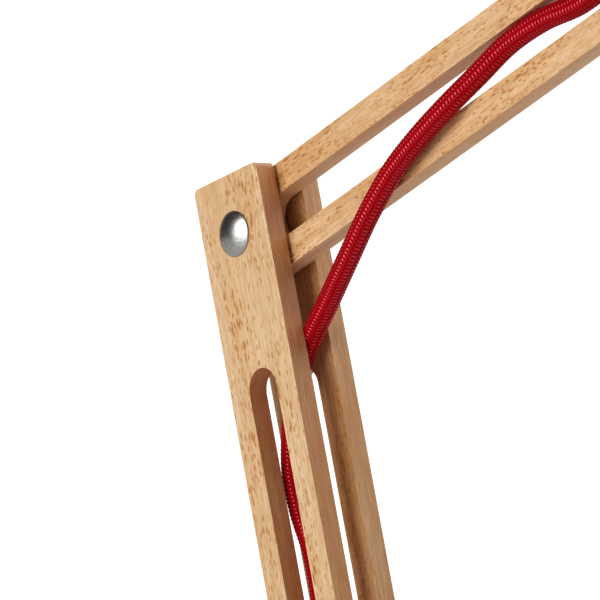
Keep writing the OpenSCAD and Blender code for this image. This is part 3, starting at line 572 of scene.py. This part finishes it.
nickel_finish = worked_metal("nickel_plate", (0.60, 0.58, 0.55), (0.78, 0.76, 0.73),
                             rough=0.18, scratch=(1200, 1200, 5000), depth=0.00002)
thread_sizes = {"Radius": 0.0129, "Height": 0.0279, "Pitch": 0.0036, "Depth": 0.0006}
thread_sides, thread_rows, thread_reach, fade_rate = 72, 124, 0.42, 500.0
tree, given = start_tree("rolled_thread", thread_sizes)
can = {"Vertices": thread_sides, "Side Segments": thread_rows}
can = shape(tree, "MeshCylinder", {**can, "Radius": given["Radius"], "Depth": given["Height"]})
parts = parts_of(add_node(tree, "GeometryNodeInputPosition").outputs[0])
bearing = calc("ARCTAN2", parts[1], parts[0])
climb = calc("DIVIDE", times(parts[2], 2 * math.pi), given["Pitch"])
wave = calc("SINE", minus(climb, bearing))
reach = times(given["Height"], thread_reach)
reach = minus(reach, calc("ABSOLUTE", parts[2]))
fade = calc("MAXIMUM", times(reach, fade_rate), 0.0)
wave = times(wave, calc("MINIMUM", fade, 1.0))
lift = times(times(minus(wave, 1.0), given["Depth"]), 0.5)
outward = vector(tree, calc("COSINE", bearing), calc("SINE", bearing))


def moved(tree, geometry, outward, lift):
    """Moves the points of a shape outward by that lift."""
    offset = add_node(tree, "ShaderNodeVectorMath", {0: outward, 3: lift}, operation="SCALE").outputs[0]
    return shape(tree, "SetPosition", {"Geometry": geometry, "Offset": offset})


end_tree(tree, given, moved(tree, can, outward, lift))
cap_spot = Matrix.Translation(head_pivot + Vector((0, 0, -0.0963)))
bulb_thread = grow("threaded_bulb_cap", tree, thread_sizes, nickel_finish, place=cap_spot, sharp=60)
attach(bulb_thread, "head")
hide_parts("bulb_cap")

# Flex: a round mains flex of 7 mm under a braid of red yarn, eight strands each way, over one and under one.
# The strands that turn one way have more shine. From the base it rises outside the arm, dips into the slots
# and crosses in front of the elbow to the head.
flex_d, strands, stitch = 0.007, 8, 0.00135
base_route = [(-0.090, 0, 0.009), (-0.076, 0, 0.009), (-0.0705, 0, 0.010), (-0.066, 0, 0.013),
              (-0.063, 0, 0.018), (-0.062, 0, 0.024), (-0.062, 0, 0.027), (-0.063, 0, 0.046),
              (-0.065, 0, 0.064), (-0.067, 0, 0.082), (-0.068, 0, 0.100), (-0.067, 0, 0.120)]
lower_route = [(0.076, -0.015, 0), (0.095, -0.009, 0), (0.114, -0.006, 0), (0.134, -0.005, 0),
               (0.155, -0.005, 0), (0.176, -0.004, 0), (0.197, -0.004, 0), (0.218, -0.0042, 0),
               (0.238, -0.0043, 0), (0.252, -0.0069, 0), (0.264, -0.0072, 0), (0.276, -0.004, 0),
               (0.286, 0.0008, -0.0007), (0.294, 0.0062, -0.0011), (0.301, 0.0136, -0.0011),
               (0.3095, 0.0282, -0.0034)]
upper_route = [(0.042, -0.0278, -0.0073), (0.0575, -0.0194, -0.0078), (0.072, -0.0124, -0.0074),
               (0.088, -0.0083, -0.0078), (0.103, -0.0052, -0.0074), (0.1175, -0.0012, -0.0046),
               (0.130, 0.0023, -0.0022), (0.146, 0.0028, -0.0007), (0.162, 0.0004, 0)]
# The head's stretch is in millimetres from its pivot, as in part.scad. The other routes are in metres.
head_route = [(-148, -1, -66), (-135, -5.4, -63), (-122, -7.6, -62), (-109, -7.6, -65), (-94, -7, -71),
              (-80, -5, -75), (-66, -3, -76.5), (-53, -1, -75), (-44, 0, -72), (-36, 0, -72)]


def weave(turn, run):
    """A braid's height at a turn and a distance along it, its two strands, and where the first is on top."""
    climb = calc("DIVIDE", run, stitch)
    spread = times(turn, float(strands))
    strand_a, strand_b = plus(spread, climb), minus(spread, climb)
    heights = []
    for own, other, sign in ((strand_a, strand_b, 1.0), (strand_b, strand_a, -1.0)):
        across = minus(calc("FRACT", own), 0.5)
        edge = calc("POWER", calc("ABSOLUTE", times(across, 2.0)), 3.0)
        beat = minus(plus(calc("FLOOR", own), other), 0.5)
        dive = times(calc("COSINE", times(beat, math.pi)), 0.5 * sign)
        heights.append(plus(times(minus(1.0, edge), 0.5), dive))
    return calc("MAXIMUM", *heights), strand_a, strand_b, calc("GREATER_THAN", *heights)


def turn_and_run(straight):
    """Reads a braid's own frame: the turn from its cosine and sine, and the distance along the flex."""
    parts = parts_of(straight)
    return calc("DIVIDE", calc("ARCTAN2", parts[1], parts[0]), 2 * math.pi), parts[2]


def own_vector(material, name):
    """Reads a vector that a piece keeps at each of its points."""
    kept = {"attribute_type": "GEOMETRY", "attribute_name": name}
    return add_node(material.node_tree, "ShaderNodeAttribute", **kept).outputs["Vector"]


braid_finish, shader, place = new_finish("red_braid", (0.45, 0.008, 0.014), 0.4, IOR=2.1)
shader.inputs["Specular Tint"].default_value = (1.0, 0.18, 0.22, 1.0)
height, strand_a, strand_b, first_on_top = weave(*turn_and_run(own_vector(braid_finish, "straight")))
yarns_in_strand, yarn_height = 3, 0.04
yarns = []
for own in (strand_a, strand_b):
    yarns.append(calc("SINE", times(own, 2 * math.pi * yarns_in_strand)))
top_yarn = {0: first_on_top, 2: yarns[1], 3: yarns[0]}
tree = braid_finish.node_tree
top_yarn = add_node(tree, "ShaderNodeMix", top_yarn, data_type="FLOAT").outputs[0]
dye = noise(place, scale=700, detail=3.0, roughness=0.6)
# The red is darker where the braid is low: painted shade in the hollows between the strands.
reds_shaded_in_hollows = [(0.2, (0.18, 0.0005, 0.002)), (0.55, (0.36, 0.002, 0.008)), (1.0, (0.47, 0.004, 0.012))]
red = ramp(height, reds_shaded_in_hollows)
red = mix_colours(ramp(dye, [(0.35, 0.0), (0.75, 0.3)]), red, (0.26, 0.002, 0.006, 1))
bright_yarn = times(first_on_top, ramp(height, [(0.3, 0.0), (0.75, 1.0)]))
paint(shader, red, ramp(bright_yarn, [(0.0, 0.55), (1.0, 0.16)]))
tree.links.new(ramp(bright_yarn, [(0.0, 0.05), (1.0, 0.8)]), shader.inputs["Specular IOR Level"])
surface = plus(height, times(top_yarn, yarn_height))
raise_surface(shader, surface, depth=0.0003, strength=0.8)

braid_level = 0.75
braid_tree, given = start_tree("raised_braid", {"Relief": 0.00045})
held = []
for label in ("straight", "outward"):
    kept = add_node(braid_tree, "GeometryNodeInputNamedAttribute", {"Name": label}, data_type="FLOAT_VECTOR")
    held.append(kept.outputs["Attribute"])
height = weave(*turn_and_run(held[0]))[0]
lift = times(minus(height, braid_level), given["Relief"])
end_tree(braid_tree, given, moved(braid_tree, given["Geometry"], held[1], lift))


def run_along(points):
    """How far along a line each of its points lies."""
    return np.concatenate([[0], np.cumsum(np.linalg.norm(np.diff(points, axis=0), axis=1))])


def smooth_line(route, step, fineness=40):
    """A smooth curve through a route, in equal steps, with the places of its points and its length."""
    points = np.array(route, float)
    knots = run_along(points)
    slopes = np.gradient(points, knots, axis=0)
    share = np.linspace(0, 1, fineness + 1)[:-1, None]
    square, cube = share ** 2, share ** 3
    fine, marks = [], [0]
    for i in range(len(points) - 1):
        span = knots[i + 1] - knots[i]
        fine.append((2 * cube - 3 * square + 1) * points[i] + (cube - 2 * square + share) * span * slopes[i]
                    + (3 * square - 2 * cube) * points[i + 1] + (cube - square) * span * slopes[i + 1])
        marks.append(fineness * (i + 1))
    fine = np.concatenate(fine + [points[-1:]])
    run = run_along(fine)
    steps = np.linspace(0, run[-1], int(round(run[-1] / step)) + 1)
    line = np.stack([np.interp(steps, run, fine[:, k]) for k in range(3)], axis=1)
    return line, np.round(run[marks] / run[-1] * (len(steps) - 1)).astype(int), run[-1]


def tube_faces(rows, sides):
    """The faces of a tube with that many rows of points, and of its two ends."""
    faces = []
    for i in range(rows - 1):
        for k in range(sides):
            here, beside = i * sides + k, i * sides + (k + 1) % sides
            faces.append((here, beside, beside + sides, here + sides))
    faces.append(tuple(range(sides - 1, -1, -1)))
    faces.append(tuple(range((rows - 1) * sides, rows * sides)))
    return faces


def keep_vector(mesh, name, vectors):
    """Keeps a vector at each point of a mesh."""
    kept = mesh.attributes.new(name, "FLOAT_VECTOR", "POINT")
    kept.data.foreach_set("vector", np.array(vectors, np.float32).ravel())


def braided_flex(name, line, run, first, last, sides, relief, side):
    """A braided tube along a stretch of a line. The whole line's frames are used, so that stretches meet."""
    heading = np.gradient(line, axis=0)
    heading /= np.linalg.norm(heading, axis=1)[:, None]
    sideways = []
    for way in heading:
        side = side - way * (side @ way)
        side = side / np.linalg.norm(side)
        sideways.append(side)
    sideways = np.array(sideways)
    over = np.cross(heading, sideways)
    angle = 2 * np.pi * np.arange(sides) / sides
    outward = np.cos(angle)[None, :, None] * sideways[:, None] + np.sin(angle)[None, :, None] * over[:, None]
    outward = outward[first:last + 1]
    rows = len(outward)
    points = (line[first:last + 1, None] + flex_d / 2 * outward).reshape(-1, 3)
    spacing = run / (len(line) - 1)
    around = np.broadcast_to(angle, (rows, sides))
    along = np.broadcast_to(spacing * np.arange(first, last + 1)[:, None], (rows, sides))
    mesh = bpy.data.meshes.new(name + "_core")
    mesh.from_pydata(points.tolist(), [], tube_faces(rows, sides))
    keep_vector(mesh, "straight", np.stack([np.cos(around), np.sin(around), along], axis=-1))
    keep_vector(mesh, "outward", outward)
    flex = grow(name, braid_tree, {"Relief": relief}, braid_finish, start=mesh, sharp=70)
    flex.data.attributes.remove(flex.data.attributes["outward"])
    path_step = 4
    path = line[first:last + 1:path_step]
    if (last - first) % path_step:
        path = np.concatenate([path, line[last:last + 1]])
    return flex, path.tolist()


def beside_slat(pivot, along, across, route):
    """Places a route that is given along a slat, across it and to the back, from its pivot."""
    return [tuple(pivot + run * along + aside * across + depth * back) for run, aside, depth in route]


arm_route = list(base_route)
arm_route += beside_slat(base_pivot, lower_along, lower_across, lower_route)
arm_route += beside_slat(elbow_pivot, upper_along, upper_across, upper_route)
arm_route += [tuple(head_pivot + Vector(point) / 1000) for point in head_route]
arm_line, arm_marks, arm_run = smooth_line(arm_route, step=0.0003)
# These count the route's points: at the grommet, and at each place where one stretch of flex meets the next.
grommet_point, lower_point, elbow_point, upper_point = 6, 13, 21, 35
arm_flex = {
    "flex_base_loop": (0, lower_point, "base", "lower_arm", grommet_point,
                       ("cord_base_inner", "cord_base_loop")),
    "flex_lower_run": (lower_point, elbow_point, "lower_arm", None, None, ("cord_lower_run",)),
    "flex_elbow": (elbow_point, upper_point, "lower_arm", "upper_arm", elbow_point, ("cord_elbow",)),
    "flex_head_loop": (upper_point, len(arm_route) - 1, "upper_arm", "head", upper_point + 1,
                       ("cord_upper_run", "cord_head_loop"))}
for name, (begin, end, body, next_body, bend_from, solid_names) in arm_flex.items():
    first, last = arm_marks[begin], arm_marks[end]
    flex, path = braided_flex(name, arm_line, arm_run, first, last,
                              sides=60, relief=0.00035, side=np.array(back))
    if next_body:
        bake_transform(flex)
    else:
        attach(flex, body)
    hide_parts(*solid_names)

# Switch: two black mouldings screwed together over the flex, with a red rocker in the upper one.
# A short lead of the flex comes to it from the base, and the rest leaves by its far end.
dress(satin_plastic("gloss_red", (0.30, 0.006, 0.012), (0.40, 0.012, 0.02), rough=0.14), "switch_rocker")
upward = np.array([0.0, 0.0, 1.0])
lead_route = [(-0.130, 0, 0.009), (-0.137, 0, 0.009), (-0.147, 0.001, 0.0065), (-0.156, 0.005, 0.0044),
              (-0.163, 0.013, 0.0036), (-0.166, 0.024, 0.0036), (-0.167, 0.035, 0.0038),
              (-0.167, 0.046, 0.0055), (-0.167, 0.057, 0.0075), (-0.167, 0.063, 0.0075)]
lead_line, _, lead_run = smooth_line(lead_route, step=0.0004)
lead_end = len(lead_line) - 1
flex, path = braided_flex("flex_lead", lead_line, lead_run, 0, lead_end, sides=44, relief=0.0003, side=upward)
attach(flex, "base")
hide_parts("cord_table_lead")

# Tie: a black woven band with hook-and-loop ends, wrapped around the coil of spare flex and pressed shut.
# It goes around all the turns at one place, a hair clear of them, so its sizes come from the coil.
coil_x, coil_y, coil_z, coil_r, coil_pitch, coil_turns = -0.118, 0.180, 0.0049, 0.048, 0.0076, 6.25
warp_pitch, weft_pitch = 0.0009, 0.0012
tie_finish, shader, place = new_finish("woven_tie", (0.012, 0.012, 0.013), 0.8, Sheen_Weight=0.2)
parts = parts_of(own_vector(tie_finish, "band"))
warp = calc("SINE", times(parts[1], 2 * math.pi / warp_pitch))
weft = calc("SINE", times(parts[0], 2 * math.pi / weft_pitch))
cloth = plus(times(times(warp, weft), 0.5), 0.5)
paint(shader, ramp(cloth, [(0.2, (0.006, 0.006, 0.007)), (0.9, (0.030, 0.030, 0.032))]))
raise_surface(shader, cloth, depth=0.0003)
tie_t, tie_r, tie_w, tie_gap, tie_step = 0.001, 0.002, 0.012, 0.0003, 0.0015
tie_turn = math.radians(-45)
clear = flex_d / 2 + tie_gap + tie_t - tie_r
tie_inner, tie_outer = coil_r - coil_pitch * coil_turns / 2 - clear, coil_r + clear
tie_low, tie_high = coil_z - clear, coil_z + coil_pitch + clear
loop = []
corners = ((tie_outer, tie_high, 0), (tie_inner, tie_high, 90),
           (tie_inner, tie_low, 180), (tie_outer, tie_low, 270))
for x, z, start in corners:
    for turn in range(0, 91, 15):
        angle = math.radians(start + turn)
        loop.append(((x, z), (math.cos(angle), math.sin(angle))))


def between(first, second, share):
    return tuple(a + (b - a) * share for a, b in zip(first, second))


fine_loop = []
for (here, out), (there, next_out) in zip(loop, loop[1:] + loop[:1]):
    count = max(1, int(math.dist(here, there) / tie_step))
    for k in range(count):
        fine_loop.append((between(here, there, k / count), between(out, next_out, k / count)))
band_section = [(-0.5, 0.25), (-0.48, 0.05), (-0.44, 0.0), (0.44, 0.0), (0.48, 0.05), (0.5, 0.25)]
band_section += [(-across, 1 - depth) for across, depth in band_section]
tie_points, tie_marks = [], []
swing = Matrix.Translation((coil_x, coil_y, 0)) @ Matrix.Rotation(tie_turn, 4, "Z")
distance, last_place = 0.0, None
for (x, z), (out_x, out_z) in fine_loop:
    distance += math.dist((x, z), last_place) if last_place else 0.0
    last_place = (x, z)
    for across, depth in band_section:
        reach = tie_r - tie_t + tie_t * depth
        tie_points.append(swing @ Vector((x + reach * out_x, across * tie_w, z + reach * out_z)))
        tie_marks.append((distance, across * tie_w, depth))
tie_faces = []
sides, rows = len(band_section), len(fine_loop)
for i in range(rows):
    row, next_row = i * sides, (i + 1) % rows * sides
    for k in range(sides):
        beside = (k + 1) % sides
        tie_faces.append((row + k, next_row + k, next_row + beside, row + beside))
tie = new_piece("woven_tie", tie_points, tie_faces, tie_finish, sharp=60)
keep_vector(tie.data, "band", tie_marks)
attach(tie, "base")
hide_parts("cord_tie")

# Plug: a flat two-pin plug moulded onto the flex in black plastic, waisted for the fingers, with plated pins.
# A ribbed sleeve of the same moulding guards the flex.
plug_y, plug_z, plug_steps = 0.228, 0.0066, 8
plug_stations = [(-0.0360, 0.0130, 0.0114, 0.0054), (-0.0345, 0.0138, 0.0122, 0.0056),
                 (-0.0300, 0.0172, 0.0128, 0.0052), (-0.0265, 0.0210, 0.0130, 0.0048),
                 (-0.0235, 0.0246, 0.0130, 0.0044), (-0.0215, 0.0258, 0.0130, 0.0042),
                 (-0.0190, 0.0260, 0.0130, 0.0040), (-0.0165, 0.0252, 0.0130, 0.0040),
                 (-0.0130, 0.0244, 0.0130, 0.0040), (-0.0095, 0.0252, 0.0130, 0.0040),
                 (-0.0070, 0.0260, 0.0130, 0.0040), (-0.0012, 0.0260, 0.0130, 0.0040),
                 (-0.0004, 0.0256, 0.0126, 0.0039), (0.0, 0.0246, 0.0116, 0.0036)]
plug_points = []
for x, width, height, radius in plug_stations:
    for quarter, (side_y, side_z) in enumerate(((1, 1), (-1, 1), (-1, -1), (1, -1))):
        for k in range(plug_steps):
            angle = math.pi / 2 * (quarter + k / (plug_steps - 1))
            y = plug_y + side_y * (width / 2 - radius) + radius * math.cos(angle)
            z = plug_z + side_z * (height / 2 - radius) + radius * math.sin(angle)
            plug_points.append((x, y, z))
plug = new_piece("plug_blank", plug_points, tube_faces(len(plug_stations), 4 * plug_steps), black_finish)
guard_sizes = {"Length": 0.0215, "Tip": 0.0086, "Root": 0.011, "Collar": 0.001, "Ribs": 6, "Groove": 0.0009}
guard_spot = Matrix.Translation((-0.058, plug_y, plug_z))
guard = grow("plug_sleeve", sleeve_tree, guard_sizes, black_finish, place=guard_spot, sharp=60)
with bpy.context.temp_override(active_object=plug, selected_editable_objects=[plug, guard]):
    bpy.ops.object.join()
plug.name = "moulded_plug"
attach(plug, "base")
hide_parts("plug_body")
dress(nickel_finish, "plug_pins")


# Spare flex: the same flex, wound from the switch into a coil of two layers, tied, and ended in the plug.
# The lower layer winds inward and the upper one winds out again, so both ends leave from the outside.
def coil_place(turn):
    """The place of the flex after that many turns of the coil."""
    radius = coil_r - coil_pitch * (coil_turns / 2 - abs(turn - coil_turns / 2))
    climb = coil_pitch * min(1, max(0, 2 * (turn - coil_turns / 2) + 0.5))
    angle = 2 * math.pi * turn
    return (coil_x - radius * math.cos(angle), coil_y + radius * math.sin(angle), coil_z + climb)


tail_route = [(-0.167, 0.123, 0.0075), (-0.167, 0.130, 0.0075), (-0.167, 0.143, 0.0056),
              (-0.166, 0.157, 0.0049), (-0.166, 0.173, 0.0049)]
turn_points = 20
coil_route = [coil_place(i / turn_points) for i in range(int(coil_turns * turn_points) + 1)]
plug_route = [(-0.111, 0.228, 0.0125), (-0.104, 0.228, 0.0125), (-0.088, 0.228, 0.0098),
              (-0.074, 0.228, 0.0074), (-0.066, 0.228, 0.0066), (-0.058, 0.228, 0.0066)]
table_line, _, table_run = smooth_line(tail_route + coil_route + plug_route, step=0.00056)
table_end = len(table_line) - 1
flex, path = braided_flex("flex_coil", table_line, table_run, 0, table_end,
                          sides=32, relief=0.0002, side=upward)
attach(flex, "base")
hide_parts("cord_switch_tail", "cord_coil", "cord_plug_tail")

# Studio: a pale floor with a soft sheen, which also lights the lamp from below, in a white surround.
# Three broad lights like hazy suns shine from the front, faintly from the right, and from high behind.
floor_finish, shader, place = new_finish("pale_floor", (0.84, 0.84, 0.83), 0.25)
mottle = noise(place, scale=2.0, detail=3.0)
paint(shader, ramp(mottle, [(0.3, (0.83, 0.83, 0.82)), (0.7, (0.86, 0.86, 0.85))]))
floor_r, floor_low, floor_high = 6.0, -0.02, -0.0002
floor_profile = [(0, floor_low), (floor_r, floor_low), (floor_r, floor_high), (0, floor_high)]
floor = turned_piece("floor", floor_profile, floor_finish, Matrix.Identity(4), steps=128)
scene = bpy.context.scene
surround = bpy.data.worlds.new("white_surround")
scene.world = surround
surround.use_nodes = True
tree = surround.node_tree
tree.nodes.clear()
seen = add_node(tree, "ShaderNodeBackground", {"Color": (1, 1, 1, 1), "Strength": 1.0}).outputs[0]
glow = add_node(tree, "ShaderNodeBackground", {"Color": (1.0, 0.98, 0.96, 1), "Strength": 0.05}).outputs[0]
direct = add_node(tree, "ShaderNodeLightPath").outputs["Is Camera Ray"]
both = add_node(tree, "ShaderNodeMixShader", {0: direct, 1: glow, 2: seen}).outputs[0]
add_node(tree, "ShaderNodeOutputWorld", {"Surface": both})
scene.view_settings.view_transform = "Standard"
scene.view_settings.look = "Medium High Contrast"

soft_lights = {"front_light": ((0.0, 1.65, -0.42), 2.2, 50), "right_light": ((-1.9, -0.7, -0.5), 0.15, 28),
               "daylight": ((-0.05, -0.75, -1.0), 2.0, 60)}
for name, (way, strength, spread) in soft_lights.items():
    lamp = bpy.data.lights.new(name, "SUN")
    lamp.energy, lamp.angle = strength, math.radians(spread)
    light = bpy.data.objects.new(name, lamp)
    light.rotation_euler = Vector(way).to_track_quat("-Z", "Y").to_euler()
    scene.collection.objects.link(light)

# Camera: a long lens at the height of the elbow, about 50 degrees to the right of the slats' front faces.
# It looks almost level, and the elbow stands up and to the left of the picture's middle.
azimuth, elevation, distance = math.radians(50.311), math.radians(-0.633), 2.0
picture_width, pixels_per_metre, sensor = 600, 3184, 36.0
elbow_right, elbow_up = -0.020481, 0.020768
right = Vector((math.cos(azimuth), math.sin(azimuth), 0))
level = Vector((math.sin(azimuth), -math.cos(azimuth), 0))
toward = math.cos(elevation) * level + Vector((0, 0, math.sin(elevation)))
up = toward.cross(right)
lens = bpy.data.cameras.new("camera")
lens.sensor_width = sensor
lens.lens = sensor * pixels_per_metre * distance / picture_width
lens.clip_start, lens.clip_end = 0.05, 50.0
camera = bpy.data.objects.new("camera", lens)
camera.location = elbow_pivot + front - elbow_right * right - elbow_up * up + distance * toward
camera.rotation_euler = (-toward).to_track_quat("-Z", "Y").to_euler()
scene.collection.objects.link(camera)
scene.camera = camera
